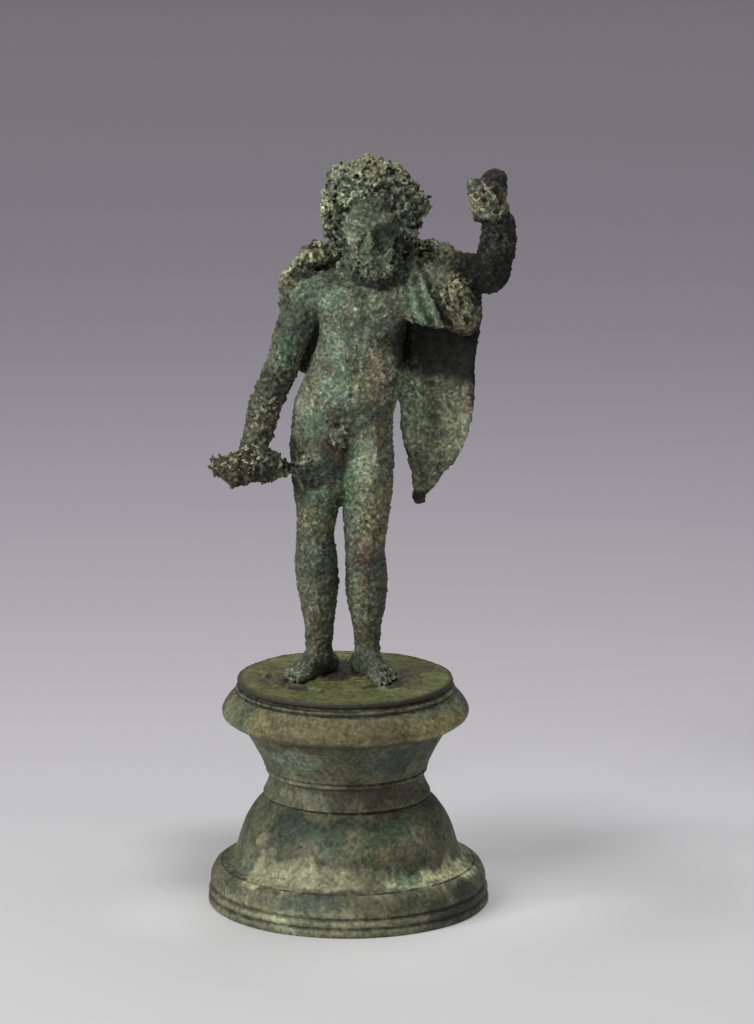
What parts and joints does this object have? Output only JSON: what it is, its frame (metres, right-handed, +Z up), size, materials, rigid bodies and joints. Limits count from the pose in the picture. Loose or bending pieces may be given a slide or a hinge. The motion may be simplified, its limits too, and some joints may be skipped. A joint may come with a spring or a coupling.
{
  "type": "bronze lararium statuette",
  "caption": "Small cast bronze figure of a bearded nude god with cloak and thunderbolt, on a round moulded pedestal.",
  "frame": {"origin": "on the floor, under the middle of the overall width and depth; the pedestal's axis is 3.2 mm to the -X side of it", "axes": "+Z up along the pedestal's axis; the figure looks along -Y; +X is on the side of its raised left hand"},
  "size_m": [0.0802, 0.0738, 0.1981],
  "materials": {
    "figure_bronze": "corroded bronze with a rough, granular grey-green patina",
    "plate_bronze": "bronze with a dull olive-green patina",
    "pedestal_bronze": "turned bronze with a mottled green, ochre and blue-green patina"
  },
  "bodies": {
    "root": {"figure": "figure_bronze", "top_plate": "plate_bronze", "pedestal": "pedestal_bronze"}
  },
  "joints": []
}
